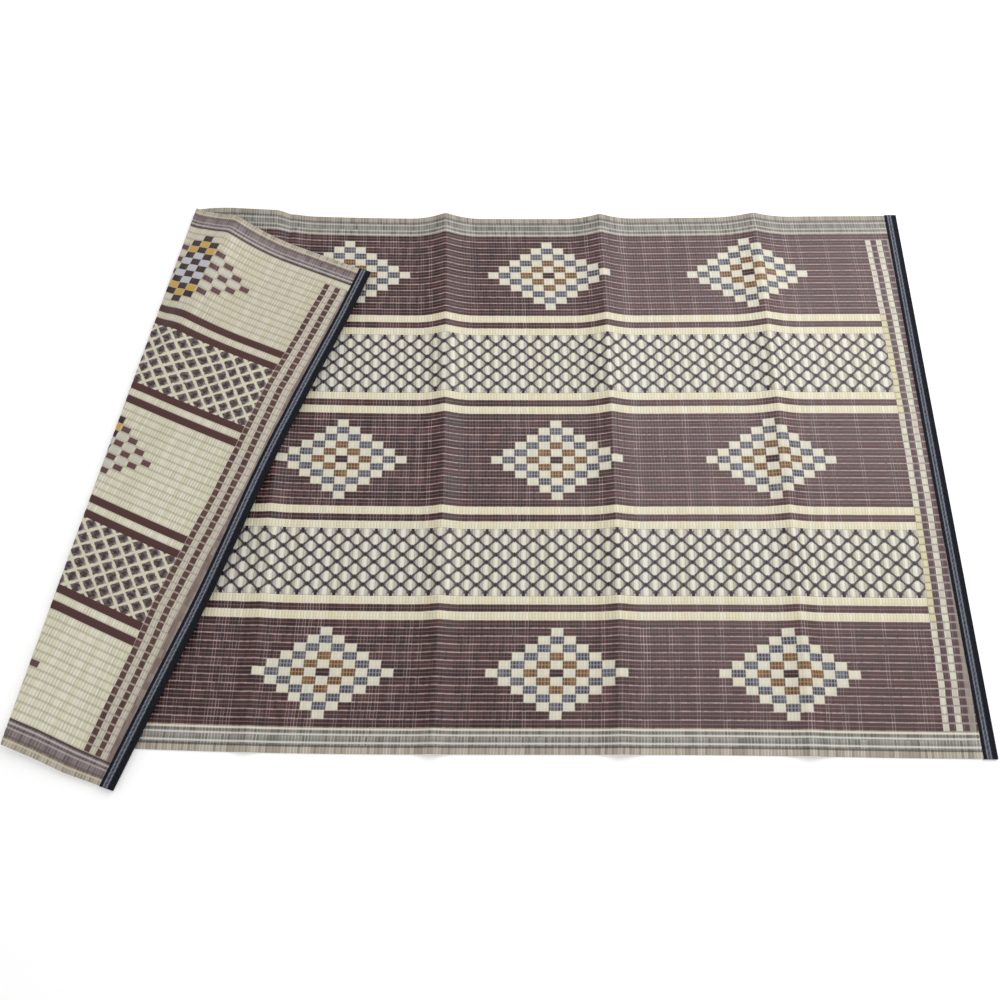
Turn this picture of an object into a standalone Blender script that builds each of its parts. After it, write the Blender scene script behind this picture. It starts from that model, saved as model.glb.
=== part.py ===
"""A woven plastic floor mat that lies on the ground with its left end folded over.

Metres, +Z up. The mat is one double-faced panel of polypropylene straw, with a woven tape folded
round each cut end. Every place on the cloth has two coordinates of its own, measured on the flat
panel: "along", from the folded end to the open one, and "across", from the front long edge to the
back one. place_on_mat() turns these into a point of the mat as it lies.
"""

import math
from typing import NamedTuple

import bpy
from mathutils import Vector

# The panel as it is cut, 4 by 7 feet, and its binding tape.
LENGTH = 2.100
WIDTH = 1.200
CLOTH_THICK = 0.0020
TAPE_WIDE = 0.027
TAPE_THICK = 0.0009
TAPE_GAP = 0.0003
TAPE_OVERHANG = 0.001
TAPE_EDGE_ROUND = 0.0006
# The open end of the cloth rises over this stretch, so that its tape lies on the ground.
TAPE_RAMP = 0.030
TAPE_RAMP_BEFORE_END = 0.065
# The left end's cut runs inwards past the middle, and a little outwards again by the back edge.
CUT_IN = 0.017
CUT_IN_FROM = 0.27
CUT_IN_RUN = 0.38
CUT_OUT = 0.004
CUT_OUT_FROM = 0.72
CUT_OUT_RUN = 0.20
# The right end's cut is askew, so at the back edge the panel is this much shorter.
ASKEW_RIGHT = 0.012
# Half way across, the straws of the lying part bow this far towards its open end.
STRAW_BOW = 0.0088

# The fold: a straight line over the panel, a little askew to its straws, pressed to a narrow round.
FOLD_AT_FRONT = 0.2330
FOLD_TURN = math.radians(10.5)
FOLD_ROUND = 0.004

# How high the upper layer stands at the fold and at its bound end, and how far the fold lifts each.
FOLD_HIGH_FRONT = 0.019
FOLD_HIGH_BACK = 0.012
END_HIGH_FRONT = 0.0090
END_HIGH_BACK = 0.0170
END_ARCH = 0.008
UPPER_REACH_FRONT = 0.25
UPPER_REACH_BACK = 0.42
LOWER_REACH = 0.10

# The packing crease that crosses the folded end, and the lower layer that it lifts at the back.
FLAP_CREASE_ALONG = 0.335
FLAP_CREASE_HIGH = 0.036
FLAP_CREASE_REACH = 0.135
FLAP_CREASE_STARTS = 0.54
FLAP_CREASE_RUN = 0.05
LIFT_HIGH = 0.019
LIFT_FROM_ACROSS = 1.05
LIFT_FROM_ALONG = 0.695
LIFT_RAMP = 0.05

# How unevenly the mat lies: where the bow sets in, and its long edges a little out of line.
BOW_FROM = 0.45
BOW_RAMP = 0.35
LEFT_SHIFT_FRONT = 0.0170
LEFT_SHIFT_BACK = 0.0330
LEFT_SHIFT_FROM = 1.0
LEFT_SHIFT_RAMP = 0.7
RIGHT_SHIFT_FRONT = -0.006
RIGHT_FRONT_FROM = 1.5
RIGHT_SHIFT_BACK = 0.012
RIGHT_BACK_FROM = 1.2
CORNER_PULL = 0.009
CORNER_REACH = 0.10

CREST_ROUND = 0.004
ROWS_ACROSS = 24
NORMAL_STEP = 0.0005
SHARP_FROM = math.radians(40)
MIDDLE_OF_FOOTPRINT = (1.1671, 0.5768)


class Crease(NamedTuple):
    """A packing crease, raised as a ridge along the straws of the lying part."""

    along: float
    high_front: float
    high_back: float
    reach_front: float
    reach_back: float


CREASES = (
    Crease(along=0.687, high_front=0.006, high_back=0.005, reach_front=0.036, reach_back=0.046),
    Crease(along=1.038, high_front=0.012, high_back=0.021, reach_front=0.042, reach_back=0.077),
    Crease(along=1.394, high_front=0.0135, high_back=0.018, reach_front=0.052, reach_back=0.077),
    Crease(along=1.750, high_front=0.012, high_back=0.016, reach_front=0.054, reach_back=0.088),
)

# Where the mesh has its columns: shares of a crease's reach, and distances from the fold line.
CREASE_COLUMNS = (-1.0, -0.68, -0.4, -0.2, -0.07, 0.0, 0.07, 0.2, 0.4, 0.68, 1.0)
FOLD_COLUMNS = (-0.150, -0.120, -0.090, -0.065, -0.042, -0.022, -0.0128, -0.0064, -0.0043, -0.0021,
                0.0, 0.0021, 0.0043, 0.0064, 0.0128, 0.022, 0.042, 0.070)
FOLD_TO_CREASE_COLUMNS = (0.3, 0.6)
FLAP_COLUMNS = 11
END_COLUMNS = (0.0, 0.0258, 0.038, 0.052, 0.066)


def ease(share):
    """A smooth step from 0 to 1."""
    share = min(1.0, max(0.0, share))
    return share * share * (3 - 2 * share)


def between(front, back, share):
    return front + (back - front) * share


def fall(distance, reach):
    """1 at a crest, 0 from reach on, hollow in between as creased cloth is."""
    rounded = math.hypot(distance, CREST_ROUND) - CREST_ROUND
    return max(0.0, 1 - rounded / reach) ** 2


def crease_reach(crease, across):
    """How far to each side a ridge reaches; like its height, it grows faster towards the back."""
    return between(crease.reach_front, crease.reach_back, (across / WIDTH) ** 2)


def ridge(crease, along, across):
    """How high one crease raises the cloth here."""
    high = between(crease.high_front, crease.high_back, (across / WIDTH) ** 2)
    return high * fall(along - crease.along, crease_reach(crease, across))


def fold_high(share):
    """Middle of the upper layer's thickness at the fold, at this share of the width."""
    return between(FOLD_HIGH_FRONT, FOLD_HIGH_BACK, share)


def lower_height(along, across, from_fold, fold_share):
    """Middle of the lying layer's thickness above the ground."""
    lift = ease((across - LIFT_FROM_ACROSS) / (WIDTH - LIFT_FROM_ACROSS))
    lift *= LIFT_HIGH * ease((LIFT_FROM_ALONG - along) / LIFT_RAMP)
    high = CLOTH_THICK / 2 + max(lift, *(ridge(crease, along, across) for crease in CREASES))
    near = max(0.0, 1 - from_fold / LOWER_REACH) ** 2
    high = between(high, fold_high(fold_share) - 2 * FOLD_ROUND, near)
    bound = ease((along - right_end(across) + TAPE_RAMP_BEFORE_END) / TAPE_RAMP)
    return high + (TAPE_THICK + TAPE_GAP) * bound


def upper_height(along, across, from_fold, fold_share):
    """Middle of the folded layer's thickness above the ground."""
    share = across / WIDTH
    high = between(END_HIGH_FRONT, END_HIGH_BACK, share)
    high += END_ARCH * math.sin(math.pi * min(1.0, max(0.0, share)))
    reach = between(UPPER_REACH_FRONT, UPPER_REACH_BACK, fold_share)
    high = between(high, fold_high(fold_share), max(0.0, 1 - from_fold / reach) ** 2)
    grown = ease((share - FLAP_CREASE_STARTS) / (1 - FLAP_CREASE_STARTS))
    grown *= ease(from_fold / FLAP_CREASE_RUN)
    return high + FLAP_CREASE_HIGH * grown * fall(along - FLAP_CREASE_ALONG, FLAP_CREASE_REACH)


def fold_line(across):
    return FOLD_AT_FRONT + across * math.tan(FOLD_TURN)


def left_end(across):
    share = across / WIDTH
    inwards = CUT_IN * ease((share - CUT_IN_FROM) / CUT_IN_RUN)
    return inwards - CUT_OUT * ease((share - CUT_OUT_FROM) / CUT_OUT_RUN)


def bow(share):
    """How far the straws bow at this share of the width."""
    return STRAW_BOW * (1 - (2 * share - 1) ** 2)


def right_end(across):
    """The cut is straight as the mat lies, so on the panel it follows the bow the other way."""
    share = across / WIDTH
    return LENGTH - ASKEW_RIGHT * share - bow(share)


def place_on_mat(along, across):
    """The point of the mat, at the middle of its thickness, for a place on the flat panel."""
    corner = max(0.0, 1 - across / CORNER_REACH) ** 2 * max(0.0, 1 - along / CORNER_REACH)
    across += CORNER_PULL * corner
    cos, sin = math.cos(FOLD_TURN), math.sin(FOLD_TURN)
    beyond = (along - fold_line(across)) * cos
    from_fold = abs(beyond)
    foot_along, foot_across = along - beyond * cos, across + beyond * sin
    fold_share = foot_across / WIDTH
    turn = min(from_fold / FOLD_ROUND, math.pi / 2)
    # Round the fold, then straight on; the quarter turn's extra length keeps the lying part in place.
    run = FOLD_ROUND * (1 - math.cos(turn)) + max(0.0, from_fold - FOLD_ROUND * math.pi / 2)
    run += (math.pi / 2 - 1) * FOLD_ROUND
    height = lower_height if beyond > 0 else upper_height
    layer = height(along, across, from_fold, fold_share)
    middle = fold_high(fold_share) - FOLD_ROUND
    x, y = foot_along + cos * run, foot_across - sin * run
    z = middle + (layer - middle) * math.sin(turn)

    share = y / WIDTH
    x += bow(share) * ease((x - BOW_FROM) / BOW_RAMP)
    left = min(1.0, max(0.0, (LEFT_SHIFT_FROM - x) / LEFT_SHIFT_RAMP)) ** 2
    y += between(LEFT_SHIFT_FRONT, LEFT_SHIFT_BACK, share) * left
    y += RIGHT_SHIFT_FRONT * (1 - share) * ease((x - RIGHT_FRONT_FROM) / (LENGTH - RIGHT_FRONT_FROM))
    y += RIGHT_SHIFT_BACK * share * ease((x - RIGHT_BACK_FROM) / (LENGTH - RIGHT_BACK_FROM))
    return Vector((x - MIDDLE_OF_FOOTPRINT[0], y - MIDDLE_OF_FOOTPRINT[1], z))


def face_direction(along, across):
    """The way the mat's face looks: up where it lies, down where it is folded over."""
    step = NORMAL_STEP
    lengthways = place_on_mat(along + step, across) - place_on_mat(along - step, across)
    crossways = place_on_mat(along, across + step) - place_on_mat(along, across - step)
    return lengthways.cross(crossways).normalized()


def off_the_cloth(along, across, height):
    """A point this far from the middle of the cloth, on its face side if above 0."""
    return place_on_mat(along, across) + face_direction(along, across) * height


def columns_at(across):
    """Where the cloth's mesh has its columns, along the row at this place across."""
    inset = TAPE_THICK + TAPE_GAP
    left, fold, right = left_end(across), fold_line(across), right_end(across) - inset
    lip, beside = left + TAPE_WIDE, fold + FOLD_COLUMNS[0]
    flank = CREASES[0].along - crease_reach(CREASES[0], across)
    columns = [left + inset]
    columns += [between(lip, beside, i / FLAP_COLUMNS) for i in range(FLAP_COLUMNS)]
    columns += [fold + d for d in FOLD_COLUMNS]
    columns += [between(columns[-1], flank, share) for share in FOLD_TO_CREASE_COLUMNS]
    for crease in CREASES:
        reach = crease_reach(crease, across)
        columns += [crease.along + reach * share for share in CREASE_COLUMNS]
    columns += [right - d for d in reversed(END_COLUMNS)]
    return columns


def make_material(name, colour, roughness):
    material = bpy.data.materials.new(name)
    material.use_nodes = True
    shader = material.node_tree.nodes["Principled BSDF"]
    shader.inputs["Base Color"].default_value = (*colour, 1.0)
    shader.inputs["Roughness"].default_value = roughness
    return material


def add_object(name, points, faces, material):
    mesh = bpy.data.meshes.new(name)
    mesh.from_pydata(points, [], faces)
    mesh.shade_smooth()
    mesh.set_sharp_from_angle(angle=SHARP_FROM)
    mesh.materials.append(material)
    obj = bpy.data.objects.new(name, mesh)
    bpy.context.scene.collection.objects.link(obj)
    return obj


def add_cloth(material):
    """The woven panel: a closed sheet of even thickness through the columns and rows."""
    rows = [WIDTH * i / ROWS_ACROSS for i in range(ROWS_ACROSS + 1)]
    columns = [columns_at(across) for across in rows]
    wide, deep = len(columns[0]), len(rows)
    places = [(columns[j][i], rows[j]) for i in range(wide) for j in range(deep)]
    face = [off_the_cloth(*place, CLOTH_THICK / 2) for place in places]
    back = [off_the_cloth(*place, -CLOTH_THICK / 2) for place in places]
    under = len(places)
    faces = []
    for i in range(wide - 1):
        for j in range(deep - 1):
            a, b = i * deep + j, (i + 1) * deep + j
            faces.append((a, b, b + 1, a + 1))
            faces.append((under + a, under + a + 1, under + b + 1, under + b))
    rim = [i * deep for i in range(wide)]
    rim += [(wide - 1) * deep + j for j in range(1, deep)]
    rim += [i * deep + deep - 1 for i in range(wide - 2, -1, -1)]
    rim += list(range(deep - 2, 0, -1))
    for here, there in zip(rim, rim[1:] + rim[:1]):
        faces.append((here, under + here, under + there, there))
    return add_object("mat_cloth", face + back, faces, material)


def tape_section():
    """(distance from the mat's end, distance from the cloth's middle) round the folded tape."""
    inner = CLOTH_THICK / 2 + TAPE_GAP
    outer = inner + TAPE_THICK
    lip = TAPE_EDGE_ROUND
    half = TAPE_WIDE / 2
    upper = [(TAPE_WIDE, inner), (TAPE_WIDE, outer), (half, outer), (lip, outer), (0.0, outer - lip)]
    inside = [(half, inner), (TAPE_THICK, inner)]
    lower = [(d, -h) for d, h in reversed(upper)]
    return upper + lower + [(d, -h) for d, h in inside] + [(d, h) for d, h in reversed(inside)]


def add_tape(name, material, end_line, inwards):
    """A tape folded round one end of the cloth, swept from the front edge to the back edge."""
    section = tape_section()
    count = len(section)
    rows = [-TAPE_OVERHANG, *(WIDTH * i / ROWS_ACROSS for i in range(ROWS_ACROSS + 1))]
    rows.append(WIDTH + TAPE_OVERHANG)
    points = []
    for across in rows:
        points += [off_the_cloth(end_line(across) + inwards * d, across, h) for d, h in section]
    faces = []
    for row in range(len(rows) - 1):
        for i in range(count):
            a, b = row * count + i, row * count + (i + 1) % count
            faces.append((a, b, b + count, a + count))
    faces.append(tuple(reversed(range(count))))
    faces.append(tuple(range(len(points) - count, len(points))))
    if inwards > 0:
        faces = [tuple(reversed(corners)) for corners in faces]
    return add_object(name, points, faces, material)


def main():
    for obj in list(bpy.data.objects):
        bpy.data.objects.remove(obj, do_unlink=True)
    straw = make_material("polypropylene_straw", (0.11, 0.055, 0.05), 0.42)
    tape = make_material("polyester_tape", (0.012, 0.013, 0.016), 0.7)
    add_cloth(straw)
    add_tape("binding_right", tape, right_end, -1)
    add_tape("binding_flap", tape, left_end, 1)


main()
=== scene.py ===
"""The looks of a woven plastic floor mat that lies with its left end folded over.

A place on the cloth has two coordinates, measured on the flat panel in metres: "along", from the
folded end to the open one, and "across", from the front long edge to the back one. The weave's own
units are the cell, four straws wide, and the row, from one warp thread to the next.
"""

import math
from typing import NamedTuple

import bpy
import numpy as np
from mathutils import Matrix, Vector


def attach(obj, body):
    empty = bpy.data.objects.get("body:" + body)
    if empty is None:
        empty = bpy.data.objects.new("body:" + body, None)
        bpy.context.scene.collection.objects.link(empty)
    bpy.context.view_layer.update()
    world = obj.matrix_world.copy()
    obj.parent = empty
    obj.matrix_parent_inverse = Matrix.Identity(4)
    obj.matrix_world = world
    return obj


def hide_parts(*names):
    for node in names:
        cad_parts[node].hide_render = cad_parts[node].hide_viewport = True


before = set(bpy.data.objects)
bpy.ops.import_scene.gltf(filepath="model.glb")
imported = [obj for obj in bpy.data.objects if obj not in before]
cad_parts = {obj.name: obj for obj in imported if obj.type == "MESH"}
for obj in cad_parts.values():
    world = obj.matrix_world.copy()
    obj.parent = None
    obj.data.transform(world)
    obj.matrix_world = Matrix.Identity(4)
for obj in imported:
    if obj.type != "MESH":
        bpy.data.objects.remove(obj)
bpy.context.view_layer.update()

# The panel as it is cut, and its binding tape.
LENGTH = 2.100
WIDTH = 1.200
CLOTH_THICK = 0.0020
TAPE_WIDE = 0.027
TAPE_THICK = 0.0009
TAPE_GAP = 0.0003
TAPE_OVERHANG = 0.001
TAPE_EDGE_ROUND = 0.0006
TAPE_RAMP = 0.030
TAPE_RAMP_BEFORE_END = 0.065
CUT_IN = 0.017
CUT_IN_FROM = 0.27
CUT_IN_RUN = 0.38
CUT_OUT = 0.004
CUT_OUT_FROM = 0.72
CUT_OUT_RUN = 0.20
ASKEW_RIGHT = 0.012
STRAW_BOW = 0.0088

# The weave: 84 cells along and 75 rows across, so a straw with its gap is 6.25 mm wide.
CELLS = 84
ROWS = 75
STRAWS_PER_CELL = 4
CELL = LENGTH / CELLS

# The fold, a straight line over the panel, and how high the two layers stand beside it.
FOLD_AT_FRONT = 0.2330
FOLD_TURN = math.radians(10.5)
FOLD_ROUND = 0.004
FOLD_HIGH_FRONT = 0.019
FOLD_HIGH_BACK = 0.012
END_HIGH_FRONT = 0.0090
END_HIGH_BACK = 0.0170
END_ARCH = 0.008
UPPER_REACH_FRONT = 0.25
UPPER_REACH_BACK = 0.42
LOWER_REACH = 0.10
FLAP_CREASE_ALONG = 0.335
FLAP_CREASE_HIGH = 0.036
FLAP_CREASE_REACH = 0.135
FLAP_CREASE_STARTS = 0.54
FLAP_CREASE_RUN = 0.05
LIFT_HIGH = 0.019
LIFT_FROM_ACROSS = 1.05
LIFT_FROM_ALONG = 0.695
LIFT_RAMP = 0.05

# How unevenly the mat lies.
BOW_FROM = 0.45
BOW_RAMP = 0.35
LEFT_SHIFT_FRONT = 0.0170
LEFT_SHIFT_BACK = 0.0330
LEFT_SHIFT_FROM = 1.0
LEFT_SHIFT_RAMP = 0.7
RIGHT_SHIFT_FRONT = -0.006
RIGHT_FRONT_FROM = 1.5
RIGHT_SHIFT_BACK = 0.012
RIGHT_BACK_FROM = 1.2
CORNER_PULL = 0.009
CORNER_REACH = 0.10
CREST_ROUND = 0.004
NORMAL_STEP = 0.0005
MIDDLE_OF_FOOTPRINT = (1.1671, 0.5768)

# How unevenly the weave was beaten up. Each pair is a place and how far the drawing is moved there:
# along the panel, in metres; by the folded end, row by row, with its share from there on; and
# across it, in rows.
STRAWS_MOVED = ((0.45, 0.0), (0.825, -0.0106), (1.275, -0.0077), (1.725, -0.0048), (2.0, -0.0058))
STRAWS_BOWED = 0.0077
END_MOVED = ((0, -0.008), (14, 0.0), (22, 0.006), (38, 0.006), (53, 0.017), (62, 0.011), (75, 0.002))
END_MOVED_SHARE = ((0.0, 0.25), (0.035, 0.4), (0.060, 0.8), (0.091, 1.0), (0.235, 0.0))
ROWS_MOVED = ((0, 0.0), (17.5, 0.05), (29.5, 0.32), (37.5, 0.31), (45.5, 0.09), (57.5, 0.20), (75, 0.0))

# The straws swell this much between two warp threads.
PUFF = 0.0005
MESH_ROWS_PER_ROW = 3


class Crease(NamedTuple):
    """A packing crease, raised as a ridge along the straws of the lying part."""

    along: float
    high_front: float
    high_back: float
    reach_front: float
    reach_back: float


CREASES = (
    Crease(along=0.687, high_front=0.006, high_back=0.005, reach_front=0.036, reach_back=0.046),
    Crease(along=1.038, high_front=0.012, high_back=0.021, reach_front=0.042, reach_back=0.077),
    Crease(along=1.394, high_front=0.0135, high_back=0.018, reach_front=0.052, reach_back=0.077),
    Crease(along=1.750, high_front=0.012, high_back=0.016, reach_front=0.054, reach_back=0.088),
)

# Where the mesh has its columns: shares of a crease's reach, and distances from the fold line.
HALF_CREASE = (0.0, 0.035, 0.07, 0.12, 0.18, 0.27, 0.4, 0.58, 0.8, 1.0)
FOLD_ZONE = (-0.150, 0.070)
FOLD_ROUND_ZONE = 0.0064
BEFORE_FOLD_COLUMNS, FOLD_COLUMNS, AFTER_FOLD_COLUMNS = 16, 16, 9
FLAP_COLUMNS, LYING_COLUMNS, PANEL_COLUMNS = 16, 12, 9
FLAP_ZONE_LEAST = 0.020
END_COLUMNS = (0.0, 0.0258, 0.032, 0.038, 0.045, 0.052, 0.066)

# The camera, fitted to the weave's own lines in the photograph.
CAMERA_PLACE = (-0.0071, -0.6658, 1.703)
CAMERA_DOWN = math.radians(70.72)
CAMERA_YAW = math.radians(-0.47)
CAMERA_ROLL = math.radians(0.60)
CAMERA_LENS_MM = 31.38


def ease(share):
    """A smooth step from 0 to 1."""
    share = np.clip(share, 0.0, 1.0)
    return share * share * (3 - 2 * share)


def between(front, back, share):
    return front + (back - front) * share


def fall(distance, reach):
    """1 at a crest, 0 from reach on, hollow in between as creased cloth is."""
    rounded = np.hypot(distance, CREST_ROUND) - CREST_ROUND
    return np.maximum(0.0, 1 - rounded / reach) ** 2


def left_end(across):
    share = across / WIDTH
    inwards = CUT_IN * ease((share - CUT_IN_FROM) / CUT_IN_RUN)
    return inwards - CUT_OUT * ease((share - CUT_OUT_FROM) / CUT_OUT_RUN)


def bow(share):
    """How far the straws bow at this share of the width."""
    return STRAW_BOW * (1 - (2 * share - 1) ** 2)


def right_end(across):
    """The cut is straight as the mat lies, so on the panel it follows the bow the other way."""
    share = across / WIDTH
    return LENGTH - ASKEW_RIGHT * share - bow(share)


def fold_line(across):
    return FOLD_AT_FRONT + across * math.tan(FOLD_TURN)


def crease_reach(crease, across):
    """How far to each side a ridge reaches; like its height, it grows faster towards the back."""
    return between(crease.reach_front, crease.reach_back, (across / WIDTH) ** 2)


def ridge(crease, along, across):
    """How high one crease raises the cloth here."""
    high = between(crease.high_front, crease.high_back, (across / WIDTH) ** 2)
    return high * fall(along - crease.along, crease_reach(crease, across))


def fold_high(share):
    """Middle of the upper layer's thickness at the fold, at this share of the width."""
    return between(FOLD_HIGH_FRONT, FOLD_HIGH_BACK, share)


def lower_height(along, across, from_fold, fold_share):
    """Middle of the lying layer's thickness above the ground."""
    lift = ease((across - LIFT_FROM_ACROSS) / (WIDTH - LIFT_FROM_ACROSS))
    high = lift * LIFT_HIGH * ease((LIFT_FROM_ALONG - along) / LIFT_RAMP)
    for crease in CREASES:
        high = np.maximum(high, ridge(crease, along, across))
    near = np.maximum(0.0, 1 - from_fold / LOWER_REACH) ** 2
    high = between(CLOTH_THICK / 2 + high, fold_high(fold_share) - 2 * FOLD_ROUND, near)
    bound = ease((along - right_end(across) + TAPE_RAMP_BEFORE_END) / TAPE_RAMP)
    return high + (TAPE_THICK + TAPE_GAP) * bound


def upper_height(along, across, from_fold, fold_share):
    """Middle of the folded layer's thickness above the ground."""
    share = across / WIDTH
    high = between(END_HIGH_FRONT, END_HIGH_BACK, share)
    high = high + END_ARCH * np.sin(math.pi * np.clip(share, 0.0, 1.0))
    reach = between(UPPER_REACH_FRONT, UPPER_REACH_BACK, fold_share)
    high = between(high, fold_high(fold_share), np.maximum(0.0, 1 - from_fold / reach) ** 2)
    grown = ease((share - FLAP_CREASE_STARTS) / (1 - FLAP_CREASE_STARTS))
    grown = grown * ease(from_fold / FLAP_CREASE_RUN)
    return high + FLAP_CREASE_HIGH * grown * fall(along - FLAP_CREASE_ALONG, FLAP_CREASE_REACH)


def place_on_mat(along, across):
    """Points of the mat, at the middle of its thickness, for places on the flat panel."""
    corner = np.maximum(0.0, 1 - across / CORNER_REACH) ** 2 * np.maximum(0.0, 1 - along / CORNER_REACH)
    across = across + CORNER_PULL * corner
    cos, sin = math.cos(FOLD_TURN), math.sin(FOLD_TURN)
    beyond = (along - fold_line(across)) * cos
    from_fold = np.abs(beyond)
    foot_along, foot_across = along - beyond * cos, across + beyond * sin
    fold_share = foot_across / WIDTH
    turn = np.minimum(from_fold / FOLD_ROUND, math.pi / 2)
    # Round the fold, then straight on; the quarter turn's extra length keeps the lying part in place.
    run = FOLD_ROUND * (1 - np.cos(turn)) + np.maximum(0.0, from_fold - FOLD_ROUND * math.pi / 2)
    run = run + (math.pi / 2 - 1) * FOLD_ROUND
    layer = np.where(
        beyond > 0,
        lower_height(along, across, from_fold, fold_share),
        upper_height(along, across, from_fold, fold_share),
    )
    middle = fold_high(fold_share) - FOLD_ROUND
    x, y = foot_along + cos * run, foot_across - sin * run
    z = middle + (layer - middle) * np.sin(turn)

    share = y / WIDTH
    x = x + bow(share) * ease((x - BOW_FROM) / BOW_RAMP)
    left = np.clip((LEFT_SHIFT_FROM - x) / LEFT_SHIFT_RAMP, 0.0, 1.0) ** 2
    y = y + between(LEFT_SHIFT_FRONT, LEFT_SHIFT_BACK, share) * left
    right_front = ease((x - RIGHT_FRONT_FROM) / (LENGTH - RIGHT_FRONT_FROM))
    right_back = ease((x - RIGHT_BACK_FROM) / (LENGTH - RIGHT_BACK_FROM))
    y = y + RIGHT_SHIFT_FRONT * (1 - share) * right_front + RIGHT_SHIFT_BACK * share * right_back
    return np.stack([x - MIDDLE_OF_FOOTPRINT[0], y - MIDDLE_OF_FOOTPRINT[1], z], axis=-1)


def off_the_cloth(along, across, height):
    """Points this far from the middle of the cloth, on its face side where above 0."""
    step = NORMAL_STEP
    lengthways = place_on_mat(along + step, across) - place_on_mat(along - step, across)
    crossways = place_on_mat(along, across + step) - place_on_mat(along, across - step)
    face = np.cross(lengthways, crossways)
    face /= np.linalg.norm(face, axis=-1, keepdims=True)
    return place_on_mat(along, across) + face * np.asarray(height)[..., None]


def moved_at(places, table):
    """A table's value at these places, in a straight line between two of its pairs."""
    return np.interp(places, *np.array(table).T)


def cell_at(along, across):
    """The cell that the drawing has at these places, counted from the middle of the length."""
    share = across / WIDTH
    moved = moved_at(along, STRAWS_MOVED)
    moved = moved + STRAWS_BOWED * (1 - (2 * share - 1) ** 2) * ease((along - BOW_FROM) / BOW_RAMP)
    moved = moved + moved_at(share * ROWS, END_MOVED) * moved_at(along, END_MOVED_SHARE)
    return (along - moved - LENGTH / 2) / CELL


def row_places(rows):
    """How far across the panel these rows lie."""
    return (rows - moved_at(rows, ROWS_MOVED)) * WIDTH / ROWS


def linear(hex_colour):
    """A colour written as sRGB hex, as the linear RGBA that Blender's sockets hold."""
    channels = [int(hex_colour[i : i + 2], 16) / 255 for i in (1, 3, 5)]
    channels = [c / 12.92 if c <= 0.04045 else ((c + 0.055) / 1.055) ** 2.4 for c in channels]
    return (*channels, 1.0)


class Kind(NamedTuple):
    """A kind of node as the materials use it: the inputs that its values go to, and its output."""

    node: str
    inputs: tuple = ()
    output: int = 0
    settings: dict = {}


KINDS = {
    "PLACE": Kind("ShaderNodeAttribute", output=1),
    "FIRST": Kind("ShaderNodeSeparateXYZ", (0,), output=0),
    "SECOND": Kind("ShaderNodeSeparateXYZ", (0,), output=1),
    "THIRD": Kind("ShaderNodeSeparateXYZ", (0,), output=2),
    "JOINED": Kind("ShaderNodeCombineXYZ", (0, 1, 2)),
    "STRETCHED": Kind("ShaderNodeMapping", ("Vector", "Scale")),
    "CLOUDS": Kind("ShaderNodeTexNoise", ("Vector", "Scale", "Detail")),
    "CHANCE": Kind("ShaderNodeTexWhiteNoise", ("Vector",)),
    "MIXED": Kind("ShaderNodeMix", (0, 6, 7), 2, {"data_type": "RGBA"}),
    "LIT": Kind("ShaderNodeHueSaturation", ("Color", "Value")),
    "EASED": Kind("ShaderNodeMapRange", ("Value", 1, 2, 3, 4), 0, {"interpolation_type": "SMOOTHSTEP"}),
    "LIGHTNESS": Kind("ShaderNodeRGBToBW", (0,)),
    "RELIEF": Kind("ShaderNodeBump", ("Height", "Distance", "Strength")),
    "PLASTIC": Kind("ShaderNodeBsdfPrincipled", ("Base Color", "Roughness", "Normal", "IOR")),
    "TEXTILE": Kind("ShaderNodeBsdfPrincipled", ("Base Color", "Roughness", "Specular IOR Level", "Normal")),
    "SURFACE": Kind("ShaderNodeOutputMaterial", ("Surface",)),
}
# The arithmetic kinds go by their operation's own name.
SUMS = ("ADD", "SUBTRACT", "MULTIPLY", "MULTIPLY_ADD", "MINIMUM", "MAXIMUM", "ABSOLUTE", "FLOOR", "FRACT",
        "ROUND", "PINGPONG", "FLOORED_MODULO", "LESS_THAN", "COMPARE")
KINDS.update({name: Kind("ShaderNodeMath", (0, 1, 2), settings={"operation": name}) for name in SUMS})


def add(tree, kind, *values, **settings):
    """Adds a node of this kind; each value is a number, a hex colour or another node's output."""
    node_type, inputs, output, own_settings = KINDS[kind]
    node = tree.nodes.new(node_type)
    for name, value in (own_settings | settings).items():
        setattr(node, name, value)
    for key, value in zip(inputs, values):
        socket = node.inputs[key]
        if isinstance(value, bpy.types.NodeSocket):
            tree.links.new(value, socket)
        else:
            socket.default_value = linear(value) if isinstance(value, str) else value
    return node.outputs[output] if node.outputs else None


def new_material(name):
    """A material with no nodes yet, and its tree."""
    material = bpy.data.materials.new(name)
    material.use_nodes = True
    material.node_tree.nodes.clear()
    return material, material.node_tree


class Weave(NamedTuple):
    """What the weave's drawing is worked out from, for any place on the panel."""

    place: object  # cell and row as one vector
    cell: object  # from the middle of the length, below 0 towards the folded end
    in_cell: object  # 0 at a lozenge cell's middle, 0.5 at its edges
    from_end: object  # cells from the nearer end
    in_straw: object  # 0 at a straw's middle, 0.5 at its gaps
    row: object  # from the front edge
    in_row: object  # 0 at the row's middle, 0.5 at its warp threads
    from_centre: object  # rows from the middle of the width
    from_edge: object  # rows from the nearer long edge
    ring: object  # steps from the middle of the nearest lozenge
    column: object  # cells from the middle column of the nearest lozenge
    straw_chance: object  # a random number for each straw
    bit_chance: object  # one for each stretch of straw between two warp threads
    reverse: object  # 1 on the back of the cloth


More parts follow.
